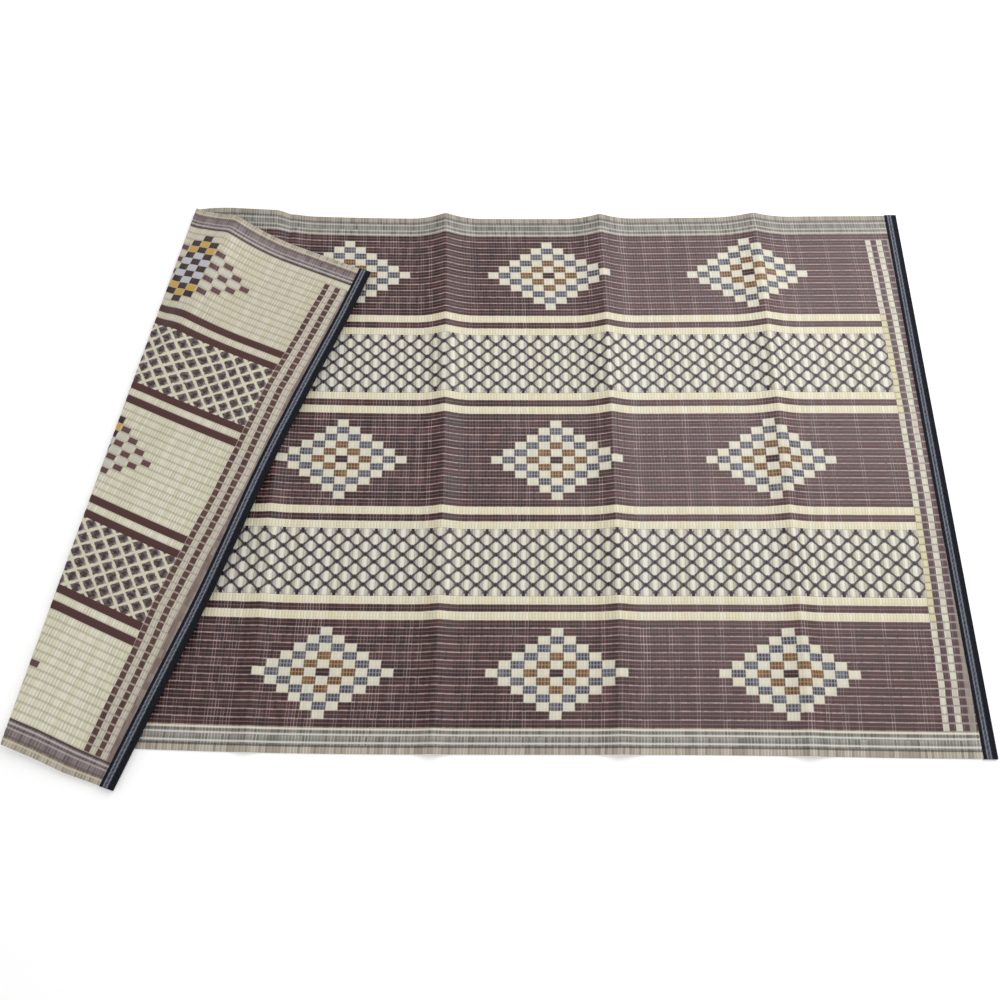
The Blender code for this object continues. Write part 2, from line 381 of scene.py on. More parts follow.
# The drawing: lozenges 18 cells and 28 rows apart, bands between them, selvages and end borders.
LOZENGE_ROWS_APART = 28
LOZENGE_COLUMN = 9
LATTICE_MIDDLE, LATTICE_HALF = 14.0, 4.5
STRIPES_MIDDLE, STRIPES_HALF = 6.0, 1.5
SELVAGE_WIDE = 3.0
BORDER_FROM_END = 3.65
BORDER_LAST_ROW = 71
LATTICE_PERIOD = 1.5
LATTICE_PHASE = 0.28
LATTICE_ROW = 19.5
LATTICE_LINE = 0.07


def weave_places(tree):
    place = add(tree, "PLACE", attribute_name="weave")
    # Straws wander a little, so no edge in the drawing is ruler straight.
    wander = add(tree, "EASED", add(tree, "CLOUDS", place, 0.45, 2.0), 0.2, 0.8, -0.025, 0.025)
    cell = add(tree, "ADD", add(tree, "FIRST", place), wander)
    row = add(tree, "SECOND", place)
    reverse = add(tree, "THIRD", place)

    straws = add(tree, "MULTIPLY", cell, STRAWS_PER_CELL)
    in_straw = add(tree, "ABSOLUTE", add(tree, "SUBTRACT", add(tree, "FRACT", straws), 0.5))
    in_row = add(tree, "ABSOLUTE", add(tree, "SUBTRACT", add(tree, "FRACT", row), 0.5))
    cell_share = add(tree, "FRACT", add(tree, "ADD", cell, 0.5))
    in_cell = add(tree, "ABSOLUTE", add(tree, "SUBTRACT", cell_share, 0.5))

    from_middle = add(tree, "ABSOLUTE", cell)
    from_end = add(tree, "SUBTRACT", CELLS / 2, from_middle)
    from_centre = add(tree, "ABSOLUTE", add(tree, "SUBTRACT", row, ROWS / 2))
    from_edge = add(tree, "SUBTRACT", ROWS / 2, from_centre)
    from_outer = add(tree, "ABSOLUTE", add(tree, "SUBTRACT", from_centre, LOZENGE_ROWS_APART))
    level = add(tree, "ROUND", add(tree, "MINIMUM", from_centre, from_outer))
    turned = add(tree, "PINGPONG", from_middle, LOZENGE_COLUMN)
    column = add(tree, "ROUND", add(tree, "SUBTRACT", LOZENGE_COLUMN, turned))
    ring = add(tree, "ADD", column, level)

    straw = add(tree, "FLOOR", straws)
    straw_chance = add(tree, "CHANCE", add(tree, "JOINED", straw))
    bit_chance = add(tree, "CHANCE", add(tree, "JOINED", straw, add(tree, "FLOOR", row), reverse))
    return Weave(place, cell, in_cell, from_end, in_straw, row, in_row, from_centre, from_edge, ring,
                 column, straw_chance, bit_chance, reverse)


def brown_straw(tree, weave):
    """Maroon straw that drifts to mauve-grey along a few rows, with pale glints beside some straws and a
    painted sheen towards the open end.
    """
    drawn_out = add(tree, "STRETCHED", weave.place, (0.12, 0.6, 1.0))
    drift = add(tree, "CLOUDS", drawn_out, 1.0, 4.0)
    tone = add(tree, "MIXED", add(tree, "EASED", drift, 0.36, 0.64), "#330e07", "#482624")
    tone = add(tree, "LIT", tone, add(tree, "EASED", weave.bit_chance, 0.0, 1.0, 0.60, 1.35))
    # Painted sheen: from the middle towards the open end the straw turns paler mauve-grey, standing in for
    # the satin gloss that the lamp lays there.
    mix_share = add(tree, "EASED", weave.cell, 5.0, 20.0, 0.0, 0.36)
    tone = add(tree, "MIXED", mix_share, tone, "#6c4f50")
    beside = add(tree, "EASED", weave.in_straw, 0.30, 0.46)
    some = add(tree, "EASED", weave.straw_chance, 0.55, 1.0, 0.02, 0.75)
    broken = add(tree, "EASED", weave.bit_chance, 0.1, 0.6, 0.25, 1.0)
    glint = add(tree, "MULTIPLY", add(tree, "MULTIPLY", beside, some), broken)
    return add(tree, "MIXED", glint, tone, "#b3a2a1")


def cream_straw(tree, weave):
    """Ivory straw, yellower or greener from one straw to the next, with a faint gap line."""
    tone = add(tree, "MIXED", weave.straw_chance, "#e3d9b2", "#efe9d2")
    tinted = add(tree, "EASED", weave.bit_chance, 0.7, 1.0, 0.0, 0.5)
    tone = add(tree, "MIXED", tinted, tone, "#d7d9bd")
    gap = add(tree, "EASED", weave.in_straw, 0.32, 0.5, 0.0, 0.45)
    return add(tree, "MIXED", gap, tone, "#9b8c68")


def barred_cell(tree, weave, dark, light):
    """A cell where dark straws lie beside light ones, cut in two by the thread half way up the row."""
    bar = add(tree, "EASED", weave.in_straw, 0.10, 0.24, 0.0, 0.95)
    edge = add(tree, "EASED", weave.in_cell, 0.42, 0.47, 0.0, 0.9)
    thread = add(tree, "EASED", weave.in_row, 0.04, 0.11, 0.45, 1.0)
    bar = add(tree, "MULTIPLY", add(tree, "MAXIMUM", bar, edge), thread)
    mix_share = add(tree, "EASED", weave.bit_chance, 0.0, 0.7, 0.55, 1.0)
    return add(tree, "MIXED", add(tree, "MULTIPLY", bar, mix_share), light, dark)


def lozenges(tree, weave, ground, cream):
    """Five stepped rings round a maroon middle, on the face."""
    edge = add(tree, "EASED", weave.in_cell, 0.41, 0.48, 0.0, 0.80)
    whitened = add(tree, "MIXED", weave.bit_chance, "#e6dfca", "#cfd2cc")
    cream = add(tree, "MIXED", 0.6, cream, whitened)
    crossed = add(tree, "EASED", weave.in_row, 0.38, 0.48, 0.0, 0.35)
    cream = add(tree, "MIXED", add(tree, "MAXIMUM", edge, crossed), cream, "#4f4534")
    blue = barred_cell(tree, weave, "#242630", "#868893")
    ochre = barred_cell(tree, weave, "#4f2c17", "#9d7a4a")
    middle = barred_cell(tree, weave, "#1f0806", "#3f1611")
    colour = ground
    for number, ring_colour in enumerate((middle, cream, ochre, cream, blue, cream)):
        here = add(tree, "COMPARE", weave.ring, number, 0.5)
        colour = add(tree, "MIXED", here, colour, ring_colour)
    return colour


def lozenges_reverse(tree, weave, ground):
    """The same rings on the back: dark where the face is cream, and the other way round."""
    inner = add(tree, "LESS_THAN", weave.column, 1.5)
    dark = add(tree, "MIXED", inner, "#624144", "#331c1a")
    lavender = add(tree, "MIXED", inner, "#cdc8bc", "#c6c5d2")
    ochre = add(tree, "MIXED", inner, "#cfc9bd", "#d0a445")
    outer = add(tree, "SUBTRACT", 1.0, inner)
    narrower = add(tree, "MULTIPLY_ADD", outer, 0.06, weave.in_cell)
    lower = add(tree, "MULTIPLY_ADD", outer, 0.09, weave.in_row)
    rounded = add(tree, "MULTIPLY", add(tree, "EASED", narrower, 0.43, 0.51, 1.0, 0.0),
                  add(tree, "EASED", lower, 0.42, 0.51, 1.0, 0.0))
    colour = ground
    for number, ring_colour in enumerate((lavender, dark, lavender, dark, ochre, dark)):
        here = add(tree, "MULTIPLY", add(tree, "COMPARE", weave.ring, number, 0.5), rounded)
        colour = add(tree, "MIXED", here, colour, ring_colour)
    return colour


def lattices(tree, weave):
    """The net of fine slanting lines on the face, and its dark filled meshes on the back."""
    shifted = add(tree, "SUBTRACT", weave.cell, LATTICE_PHASE)
    run = add(tree, "MULTIPLY", shifted, 1 / LATTICE_PERIOD)
    rise = add(tree, "MULTIPLY", add(tree, "SUBTRACT", weave.row, LATTICE_ROW), 0.5)
    # Each mesh's own coordinates, both 0 in its middle and 0.5 away on the lines round it.
    up = add(tree, "SUBTRACT", add(tree, "FRACT", add(tree, "ADD", run, rise)), 0.5)
    down = add(tree, "SUBTRACT", add(tree, "FRACT", add(tree, "SUBTRACT", run, rise)), 0.5)
    nearest = add(tree, "MAXIMUM", add(tree, "ABSOLUTE", up), add(tree, "ABSOLUTE", down))
    farthest = add(tree, "MINIMUM", add(tree, "ABSOLUTE", up), add(tree, "ABSOLUTE", down))
    sideways = add(tree, "ABSOLUTE", add(tree, "ADD", up, down))

    line = add(tree, "EASED", nearest, 0.5 - 1.9 * LATTICE_LINE, 0.5 - 0.6 * LATTICE_LINE)
    knot = add(tree, "EASED", farthest, 0.5 - 3.4 * LATTICE_LINE, 0.5 - 1.6 * LATTICE_LINE)
    from_band = add(tree, "ABSOLUTE", add(tree, "SUBTRACT", weave.from_centre, LATTICE_MIDDLE))
    outermost = add(tree, "EASED", from_band, LATTICE_HALF - 0.6, LATTICE_HALF - 0.4)
    line = add(tree, "MULTIPLY", line, add(tree, "SUBTRACT", 1.0, outermost))
    staggered = add(tree, "PINGPONG", shifted, LATTICE_PERIOD / 2)
    bar = add(tree, "MULTIPLY", add(tree, "EASED", staggered, 0.10, 0.18, 1.0, 0.0), outermost)
    net = add(tree, "MAXIMUM", add(tree, "MULTIPLY", line, 0.9), add(tree, "MAXIMUM", knot, bar))

    mesh = add(tree, "MIXED", weave.straw_chance, "#d6d0b2", "#e2dfd2")
    gap = add(tree, "EASED", weave.in_straw, 0.26, 0.5, 0.0, 0.62)
    mesh = add(tree, "MIXED", gap, mesh, "#8a8278")
    lilac = add(tree, "EASED", sideways, 0.22, 0.70, 0.0, 0.9)
    mesh = add(tree, "MIXED", lilac, mesh, "#8f828d")
    glint = add(tree, "EASED", sideways, 0.03, 0.14, 0.8, 0.0)
    mesh = add(tree, "MIXED", glint, mesh, "#fbfaf0")
    rim = add(tree, "EASED", from_band, LATTICE_HALF - 0.14, LATTICE_HALF - 0.03, 0.0, 0.55)
    mesh = add(tree, "MIXED", rim, mesh, "#6d6a5c")
    face = add(tree, "MIXED", net, mesh, "#1e151b")

    # The back's meshes are filled by straws of odd lengths, so their edges and tones are uneven.
    uneven = add(tree, "EASED", weave.bit_chance, 0.0, 1.0, -0.035, 0.035)
    blob = add(tree, "EASED", add(tree, "ADD", nearest, uneven), 0.33, 0.43, 1.0, 0.0)
    patch = add(tree, "EASED", add(tree, "CLOUDS", weave.place, 3.0, 2.0), 0.42, 0.58)
    filling = add(tree, "MIXED", patch, "#46302c", "#77696b")
    core = add(tree, "EASED", nearest, 0.05, 0.26, 0.85, 0.0)
    filling = add(tree, "MIXED", core, filling, "#30201e")
    leftwards = add(tree, "EASED", add(tree, "ADD", up, down), -0.62, -0.25, 0.85, 0.0)
    filling = add(tree, "MIXED", leftwards, filling, "#a4989c")
    back = add(tree, "MIXED", blob, "#dcd8bf", filling)
    return face, back


def borders(tree, weave, brown, cream, in_bands):
    """The end borders: straws in pairs, pale and brown in turn, from the field's end to the tape."""
    inwards = add(tree, "SUBTRACT", BORDER_FROM_END, weave.from_end)
    pair = add(tree, "FLOORED_MODULO", inwards, 1.0)
    pale_pair = add(tree, "MULTIPLY", add(tree, "EASED", pair, 0.47, 0.53, 1.0, 0.0),
                    add(tree, "EASED", pair, 0.0, 0.05))
    by_tape = add(tree, "EASED", weave.from_end, 1.60, 1.70, 0.35, 1.0)
    crossed = add(tree, "EASED", weave.in_row, 0.33, 0.46)

    tinted = add(tree, "MIXED", weave.bit_chance, "#e2d3cc", "#d3d8c4")
    pale = add(tree, "MIXED", 0.7, cream, tinted)
    pale = add(tree, "LIT", pale, add(tree, "EASED", weave.bit_chance, 0.0, 1.0, 0.78, 1.04))
    first = add(tree, "MULTIPLY", add(tree, "LESS_THAN", inwards, 0.5), in_bands)
    pale = add(tree, "MIXED", add(tree, "MULTIPLY", first, 0.45), pale, "#ddd38a")
    pale = add(tree, "MIXED", add(tree, "MULTIPLY", crossed, 0.55), pale, "#6f6360")
    dull = add(tree, "MIXED", 0.35, brown, "#5c484e")
    dull = add(tree, "MIXED", add(tree, "MULTIPLY", crossed, 0.6), dull, "#b5a9a9")
    face = add(tree, "MIXED", add(tree, "MULTIPLY", pale_pair, by_tape), dull, pale)

    bead = add(tree, "EASED", weave.in_row, 0.34, 0.46, 1.0, 0.2)
    brown_back = add(tree, "MULTIPLY", add(tree, "MULTIPLY", pale_pair, bead), by_tape)
    pale_back = add(tree, "MIXED", weave.bit_chance, "#cdbcbb", "#c8cbb4")
    pale_back = add(tree, "MIXED", 0.35, pale_back, "#d8cfb4")
    gap = add(tree, "EASED", weave.in_straw, 0.28, 0.46, 0.0, 0.45)
    pale_back = add(tree, "MIXED", gap, pale_back, "#857873")
    pale_back = add(tree, "MIXED", add(tree, "MULTIPLY", crossed, 0.35), pale_back, "#6f6360")
    mottled = add(tree, "LIT", "#573a33", add(tree, "EASED", weave.bit_chance, 0.0, 1.0, 0.75, 1.3))
    back = add(tree, "MIXED", brown_back, pale_back, mottled)
    edge = add(tree, "MULTIPLY", add(tree, "LESS_THAN", weave.from_end, 1.65), 0.7)
    back = add(tree, "MIXED", edge, back, add(tree, "MIXED", weave.bit_chance, "#5a3533", "#8d7a78"))
    return face, back


class WarpLine(NamedTuple):
    """A warp thread in the selvage that shows as a line: its place and half its width, in rows."""

    from_edge: float
    half: float
    share: float
    colour: str


SELVAGE_LINES = (
    WarpLine(from_edge=2.82, half=0.13, share=0.85, colour="#efe9d2"),
    WarpLine(from_edge=2.50, half=0.12, share=0.40, colour="#4c4641"),
    WarpLine(from_edge=2.18, half=0.12, share=0.80, colour="#e6e4dc"),
    WarpLine(from_edge=1.55, half=0.12, share=0.30, colour="#57514b"),
    WarpLine(from_edge=1.25, half=0.12, share=0.80, colour="#e6e4dc"),
    WarpLine(from_edge=0.86, half=0.15, share=0.65, colour="#3b332e"),
)
SELVAGE_LINES_REVERSE = (
    WarpLine(from_edge=2.88, half=0.16, share=0.85, colour="#3f2a28"),
    WarpLine(from_edge=2.50, half=0.12, share=0.60, colour="#d9cfcf"),
    WarpLine(from_edge=2.20, half=0.10, share=0.45, colour="#4b3d3b"),
    WarpLine(from_edge=1.95, half=0.12, share=0.45, colour="#cfc7c2"),
    WarpLine(from_edge=1.10, half=0.14, share=0.55, colour="#5b4c40"),
    WarpLine(from_edge=0.68, half=0.14, share=0.60, colour="#dccfae"),
)


def lined(tree, weave, colour, lines, strength):
    """The colour with these warp lines over it."""
    for line in lines:
        off = add(tree, "ABSOLUTE", add(tree, "SUBTRACT", weave.from_edge, line.from_edge))
        here = add(tree, "EASED", off, line.half * 0.4, line.half * 1.3, line.share, 0.0)
        colour = add(tree, "MIXED", add(tree, "MULTIPLY", here, strength), colour, line.colour)
    return colour


def selvages(tree, weave):
    """Grey straw crossed by pale and dark warp lines, on the face and on the back."""
    pale_gap = add(tree, "EASED", weave.in_straw, 0.28, 0.46)
    pale_gap = add(tree, "MULTIPLY", pale_gap, add(tree, "EASED", weave.straw_chance, 0.2, 1.0, 0.15, 0.75))
    grey = add(tree, "MIXED", weave.bit_chance, "#6f6a63", "#a09b93")
    grey = add(tree, "MIXED", pale_gap, grey, "#dbd8d0")
    outer = add(tree, "MIXED", weave.bit_chance, "#968b7c", "#beb4a2")
    outer = add(tree, "MIXED", pale_gap, outer, "#e2dfd6")
    outside = add(tree, "EASED", weave.from_edge, 0.66, 0.80, 1.0, 0.0)
    face = add(tree, "MIXED", outside, grey, outer)
    back = add(tree, "MIXED", weave.bit_chance, "#655657", "#8a7c7d")
    back = add(tree, "MIXED", add(tree, "MULTIPLY", pale_gap, 0.5), back, "#c9c0be")
    back = add(tree, "MIXED", outside, back, outer)
    blurred = add(tree, "EASED", weave.row, 40.0, 70.0, 1.0, 0.55)
    shaded = add(tree, "EASED", weave.row, 40.0, 70.0, 1.0, 0.82)
    face = add(tree, "LIT", face, shaded)
    face = lined(tree, weave, face, SELVAGE_LINES, blurred)
    back = lined(tree, weave, back, SELVAGE_LINES_REVERSE, 1.0)
    return face, back


# The straws' relief in metres, how glossy they are, and polypropylene's refraction.
STRAW_RELIEF = 0.0006
STRAW_ROUGHNESS = (0.38, 0.52)
POLYPROPYLENE_IOR = 1.49
RELIEF_STRENGTH = 0.5


def woven_material():
    """Flat polypropylene straw: a smooth extruded plastic, so each straw has a satin glint.

    The warp threads are as thin as sewing thread, 16 mm apart. They are drawn as lines about 2.5 mm
    wide, which is the least that shows.
    """
    material, tree = new_material("woven_polypropylene_straw")
    weave = weave_places(tree)
    brown = brown_straw(tree, weave)
    cream = cream_straw(tree, weave)

    # The back's ground is yellower cream in small dots, where straw and thread cross.
    dots = add(tree, "EASED", weave.in_straw, 0.15, 0.45)
    dots = add(tree, "MULTIPLY", dots, add(tree, "EASED", weave.bit_chance, 0.0, 1.0, 0.15, 0.75))
    ground_back = add(tree, "MIXED", weave.straw_chance, "#e2ddc0", "#f0ecda")
    ground_back = add(tree, "MIXED", dots, ground_back, "#b8b198")
    shaded_row = add(tree, "EASED", weave.in_row, 0.24, 0.5, 0.0, 0.48)
    ground_back = add(tree, "MIXED", shaded_row, ground_back, "#979079")
    # Painted shade: towards the back edge the cloth turns from the light, so its ground is darkened there;
    # more of the brown shows through as well.
    shaded_and_browner = add(tree, "EASED", weave.row, 20.0, 68.0, 0.0, 0.22)
    ground_back = add(tree, "MIXED", shaded_and_browner, ground_back, "#8a7a66")

    face = lozenges(tree, weave, brown, cream)
    back = lozenges_reverse(tree, weave, ground_back)

    from_lattice = add(tree, "ABSOLUTE", add(tree, "SUBTRACT", weave.from_centre, LATTICE_MIDDLE))
    in_lattice = add(tree, "LESS_THAN", from_lattice, LATTICE_HALF)
    in_stripes = add(tree, "COMPARE", from_lattice, STRIPES_MIDDLE, STRIPES_HALF)
    in_bands = add(tree, "MAXIMUM", in_lattice, in_stripes)
    brown_stripe = add(tree, "COMPARE", from_lattice, STRIPES_MIDDLE, 0.5)
    stripes = add(tree, "MIXED", brown_stripe, cream, brown)
    stripes_back = add(tree, "MIXED", brown_stripe, "#4c2a27", ground_back)
    face = add(tree, "MIXED", in_stripes, face, stripes)
    back = add(tree, "MIXED", in_stripes, back, stripes_back)

    lattice, lattice_back = lattices(tree, weave)
    face = add(tree, "MIXED", in_lattice, face, lattice)
    back = add(tree, "MIXED", in_lattice, back, lattice_back)

    # The warp threads show as thin pale lines between the rows, the one half way up only faintly.
    warp = add(tree, "EASED", weave.in_row, 0.38, 0.46)
    dotted = add(tree, "EASED", weave.bit_chance, 0.0, 1.0, 0.45, 0.90)
    half_way = add(tree, "EASED", weave.in_row, 0.03, 0.10, 0.22, 0.0)
    pale_line = add(tree, "MAXIMUM", add(tree, "MULTIPLY", warp, dotted), half_way)
    on_pale = add(tree, "EASED", add(tree, "LIGHTNESS", face), 0.12, 0.45)
    line_colour = add(tree, "MIXED", on_pale, "#bba9a9", "#f5efd6")
    off_net = add(tree, "EASED", in_lattice, 0.0, 1.0, 1.0, 0.15)
    face = add(tree, "MIXED", add(tree, "MULTIPLY", pale_line, off_net), face, line_colour)

    border, border_back = borders(tree, weave, brown, cream, in_bands)
    in_border = add(tree, "MULTIPLY", add(tree, "LESS_THAN", weave.from_end, BORDER_FROM_END),
                    add(tree, "LESS_THAN", weave.row, BORDER_LAST_ROW))
    face = add(tree, "MIXED", in_border, face, border)
    back = add(tree, "MIXED", in_border, back, border_back)

    selvage, selvage_back = selvages(tree, weave)
    in_selvage = add(tree, "LESS_THAN", weave.from_edge, SELVAGE_WIDE)
    face = add(tree, "MIXED", in_selvage, face, selvage)
    back = add(tree, "MIXED", in_selvage, back, selvage_back)
    colour = add(tree, "MIXED", add(tree, "EASED", weave.reverse, 0.4, 0.6), face, back)

    height = add(tree, "EASED", weave.in_straw, 0.1, 0.5, 1.0, 0.0)
    height = add(tree, "SUBTRACT", height, add(tree, "MULTIPLY", warp, 0.6))
    normal = add(tree, "RELIEF", height, STRAW_RELIEF, RELIEF_STRENGTH)
    roughness = add(tree, "EASED", weave.bit_chance, 0.0, 1.0, *STRAW_ROUGHNESS)
    add(tree, "SURFACE", add(tree, "PLASTIC", colour, roughness, normal, POLYPROPYLENE_IOR))
    return material


# The tape's own measures, in millimetres from its outer fold and along it. The twill is really
# about 2 mm, and drawn at 9 mm, which is the least that shows.
TAPE_RIB_FROM, TAPE_RIB_TO = 11.0, 21.5
TAPE_MIDDLE, TAPE_ROWS_APART = 16.5, 6.2
TAPE_TWILL = 4.5
TAPE_WEFT = 0.6
TAPE_RELIEF = 0.0003


def tape_material():
    """Woven polyester tape, black with a slate-blue twill rib down its middle: matt, fibrous."""
    material, tree = new_material("woven_polyester_tape")
    place = add(tree, "PLACE", attribute_name="tape")
    inwards = add(tree, "FIRST", place)
    run = add(tree, "SECOND", place)
    rib = add(tree, "EASED", inwards, TAPE_RIB_FROM - 1.0, TAPE_RIB_FROM + 1.0)
    rib_end = add(tree, "EASED", inwards, TAPE_RIB_TO - 1.0, TAPE_RIB_TO + 1.0, 1.0, 0.0)
    rib = add(tree, "MULTIPLY", rib, rib_end)
    twill = add(tree, "PINGPONG", add(tree, "ADD", inwards, run), TAPE_TWILL)
    streak = add(tree, "CLOUDS", add(tree, "STRETCHED", place, (0.5, 0.12, 1.0)), 1.0, 3.0)
    rib_tone = add(tree, "MIXED", add(tree, "EASED", streak, 0.35, 0.65), "#33363f", "#5b606c")
    rib_tone = add(tree, "LIT", rib_tone, add(tree, "EASED", twill, 0.0, TAPE_TWILL, 0.6, 1.35))
    # The sewn rows press two paler ribs up, drawn twice their real width so that they show.
    off_middle = add(tree, "ABSOLUTE", add(tree, "SUBTRACT", inwards, TAPE_MIDDLE))
    off_row = add(tree, "ABSOLUTE", add(tree, "SUBTRACT", off_middle, TAPE_ROWS_APART / 2))
    pale_rib = add(tree, "EASED", off_row, 0.6, 1.7, 0.65, 0.0)
    rib_tone = add(tree, "MIXED", pale_rib, rib_tone, "#7e8390")
    black = add(tree, "MIXED", add(tree, "EASED", streak, 0.3, 0.7), "#0b0d12", "#191c24")
    colour = add(tree, "MIXED", rib, black, rib_tone)
    weft = add(tree, "PINGPONG", run, TAPE_WEFT)
    normal = add(tree, "RELIEF", add(tree, "ADD", weft, twill), TAPE_RELIEF, RELIEF_STRENGTH)
    add(tree, "SURFACE", add(tree, "TEXTILE", colour, 0.8, 0.2, normal))
    return material


def thread_material():
    """Twisted polyester sewing thread: pale grey-blue with a faint sheen."""
    material, tree = new_material("polyester_sewing_thread")
    place = add(tree, "PLACE", attribute_name="tape")
    tone = add(tree, "CLOUDS", place, 0.6, 2.0)
    colour = add(tree, "MIXED", add(tree, "EASED", tone, 0.3, 0.7), "#7d828d", "#b0b5bf")
    add(tree, "SURFACE", add(tree, "TEXTILE", colour, 0.6, 0.4))
    return material


# Edges that turn by more than this stay sharp.
SHARP_ANGLE = math.radians(50)


def add_piece(name, points, faces, material, places, attribute):
    """A smooth mesh; places are the coordinates that its material reads at each point."""
    mesh = bpy.data.meshes.new(name)
    mesh.from_pydata(points, [], faces)
    mesh.shade_smooth()
    mesh.set_sharp_from_angle(angle=SHARP_ANGLE)
    mesh.materials.append(material)
    layer = mesh.attributes.new(attribute, "FLOAT_VECTOR", "POINT")
    layer.data.foreach_set("vector", np.asarray(places, dtype=np.float32).ravel())
    piece = bpy.data.objects.new(name, mesh)
    bpy.context.scene.collection.objects.link(piece)
    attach(piece, "root")
    return piece


def columns_at(across):
    """Where the panel's mesh has its columns, along the row at this place across."""
    inset = TAPE_THICK + TAPE_GAP
    left, fold, right = left_end(across) + inset, fold_line(across), right_end(across) - inset
    first, last = fold + FOLD_ZONE[0], fold + FOLD_ZONE[1]
    round_from, round_to = fold - FOLD_ROUND_ZONE, fold + FOLD_ROUND_ZONE
    if first < left + FLAP_ZONE_LEAST:
        first = between(left, round_from, 0.5)
    stops = [left, first, round_from, round_to, last]
    counts = [FLAP_COLUMNS, BEFORE_FOLD_COLUMNS, FOLD_COLUMNS, AFTER_FOLD_COLUMNS]
    columns = []
    for start, stop, count in zip(stops, stops[1:], counts):
        columns += list(np.linspace(start, stop, count, endpoint=False))
    start, count = last, LYING_COLUMNS
    for crease in CREASES:
        reach = crease_reach(crease, across)
        columns += list(np.linspace(start, crease.along - reach, count, endpoint=False))
        columns += [crease.along - reach * share for share in reversed(HALF_CREASE[1:])]
        columns += [crease.along + reach * share for share in HALF_CREASE[:-1]]
        start, count = crease.along + reach, PANEL_COLUMNS
    columns += list(np.linspace(start, right - END_COLUMNS[-1], PANEL_COLUMNS, endpoint=False))
    columns += [right - inwards for inwards in reversed(END_COLUMNS)]
    return columns


def sheet_faces(wide, deep):
    """Faces of a closed sheet: its face layer's points first, then its back layer's, then its rim."""
    under = wide * deep
    faces = []
    for i in range(wide - 1):
        for j in range(deep - 1):
            a, b = i * deep + j, (i + 1) * deep + j
            faces.append((a, b, b + 1, a + 1))
            faces.append((under + a, under + a + 1, under + b + 1, under + b))
    rim = [i * deep for i in range(wide)]
    rim += [(wide - 1) * deep + j for j in range(1, deep)]
    rim += [i * deep + deep - 1 for i in range(wide - 2, -1, -1)]
    rim += list(range(deep - 2, 0, -1))
    for here, there in zip(rim, rim[1:] + rim[:1]):
        faces.append((here, under + here, under + there, there))
    return faces


def add_panel(material):
    """The woven panel, its straws swelling between the warp threads on both sides."""
    rows = np.linspace(0, ROWS, ROWS * MESH_ROWS_PER_ROW + 1)
    places_across = row_places(rows)
    along = np.array([columns_at(across) for across in places_across]).T
    across = np.broadcast_to(places_across, along.shape)
    row = np.broadcast_to(rows, along.shape)
    swell = PUFF * (1 - (2 * (row - np.floor(row + 1e-6)) - 1) ** 2)
    half = CLOTH_THICK / 2 - PUFF / 2 + swell
    face = off_the_cloth(along, across, half).reshape(-1, 3)
    back = off_the_cloth(along, across, -half).reshape(-1, 3)
    cell = cell_at(along, across)
    places = np.stack([cell, row, np.zeros_like(cell)], axis=-1).reshape(-1, 3)
    points = np.concatenate([face, back])
    places = np.concatenate([places, places + (0.0, 0.0, 1.0)])
    return add_piece("woven_panel", points, sheet_faces(*along.shape), material, places, "weave")


def tape_section():
    """(distance from the mat's end, distance from the cloth's middle) round the folded tape."""
    inner = CLOTH_THICK / 2 + TAPE_GAP
    outer = inner + TAPE_THICK
    lip = TAPE_EDGE_ROUND
    upper = [(TAPE_WIDE, inner), (TAPE_WIDE + 0.0002, inner + TAPE_THICK / 2), (TAPE_WIDE, outer)]
    for share in (0.88, 0.72, 0.6, 0.5, 0.4, 0.28, 0.12):
        upper.append((TAPE_WIDE * share, outer))
    for turn in (0, 30, 60, 90):
        angle = math.radians(turn)
        upper.append((lip * (1 - math.sin(angle)), outer - lip * (1 - math.cos(angle))))
    inside = [(TAPE_WIDE / 2, inner), (TAPE_THICK, inner)]
    lower = [(inwards, -high) for inwards, high in reversed(upper)]
    lining = [(inwards, -high) for inwards, high in inside]
    return upper + lower + lining + list(reversed(inside))


def add_tape(name, material, end_line, inwards):
    """A tape folded round one end of the cloth, swept from the front edge to the back edge."""
    section = np.array(tape_section())
    count = len(section)
    inner_rows = np.linspace(0.0, WIDTH, 2 * ROWS + 1)
    rows = np.concatenate([[-TAPE_OVERHANG], inner_rows, [WIDTH + TAPE_OVERHANG]])
    across = np.broadcast_to(rows[:, None], (len(rows), count))
    along = end_line(across) + inwards * section[:, 0]
    points = off_the_cloth(along, across, np.broadcast_to(section[:, 1], along.shape)).reshape(-1, 3)
    from_end = np.broadcast_to(section[:, 0], along.shape) * 1000
    places = np.stack([from_end, across * 1000, along * 0], axis=-1).reshape(-1, 3)
    faces = []
    for row in range(len(rows) - 1):
        for i in range(count):
            a, b = row * count + i, row * count + (i + 1) % count
            faces.append((a, b, b + count, a + count))
    faces.append(tuple(reversed(range(count))))
    faces.append(tuple(range(len(points) - count, len(points))))
    if inwards > 0:
        faces = [tuple(reversed(corners)) for corners in faces]
    return add_piece(name, points, faces, material, places, "tape")


# The sewing: two rows of lock stitches along each tape.
STITCH_ROWS = (0.0134, 0.0196)
STITCH_LONG = 0.0075
STITCH_PITCH = 0.0105
STITCH_ROUND = 0.00045
STITCH_SIDES = 6
STITCH_TAPER = ((-0.5, 0.25), (-0.42, 0.8), (-0.2, 1.0), (0.2, 1.0), (0.42, 0.8), (0.5, 0.25))


